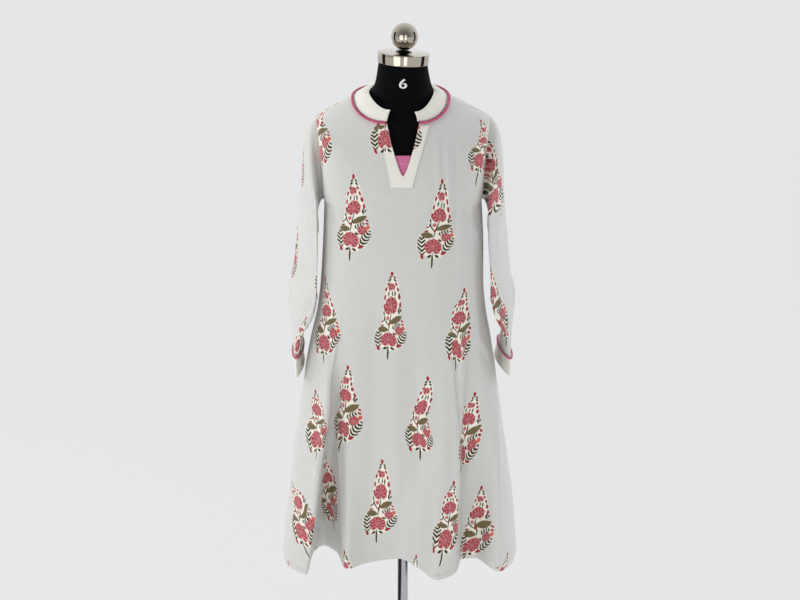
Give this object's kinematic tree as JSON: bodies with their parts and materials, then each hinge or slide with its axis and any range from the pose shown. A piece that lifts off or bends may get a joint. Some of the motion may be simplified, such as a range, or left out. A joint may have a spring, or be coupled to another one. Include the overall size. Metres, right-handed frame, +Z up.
{
  "type": "kurta tunic on dress form",
  "caption": "Long-sleeved cotton kurta tunic with a stand collar, V placket and rose piping, on a limbless black dress form and stand.",
  "frame": {"origin": "centre of the stand base's underside", "axes": "+Z up along the pole, -Y to the front of the tunic, +X to the wearer's left"},
  "size_m": [0.5394, 0.4094, 1.6217],
  "materials": {
    "printed_cotton": "matte",
    "plain_cotton": "matte",
    "rose_piping": "satin",
    "pink_cotton": "matte",
    "form_jersey": "matte",
    "chrome": "polished",
    "black_metal": "satin"
  },
  "bodies": {
    "root": {"front_panel": "printed_cotton", "back_panel": "printed_cotton", "sleeve_left": "printed_cotton", "sleeve_right": "printed_cotton", "placket_band": "printed_cotton", "collar_band": "plain_cotton", "cuff_left": "plain_cotton", "cuff_right": "plain_cotton", "collar_piping": "rose_piping", "cuff_piping_left": "rose_piping", "cuff_piping_right": "rose_piping", "v_insert": "pink_cotton", "dress_form": "form_jersey", "neck_cap": "chrome", "finial_ball": "chrome", "finial_foot": "black_metal", "stand_base": "chrome", "stand_pole": "chrome"}
  },
  "joints": []
}
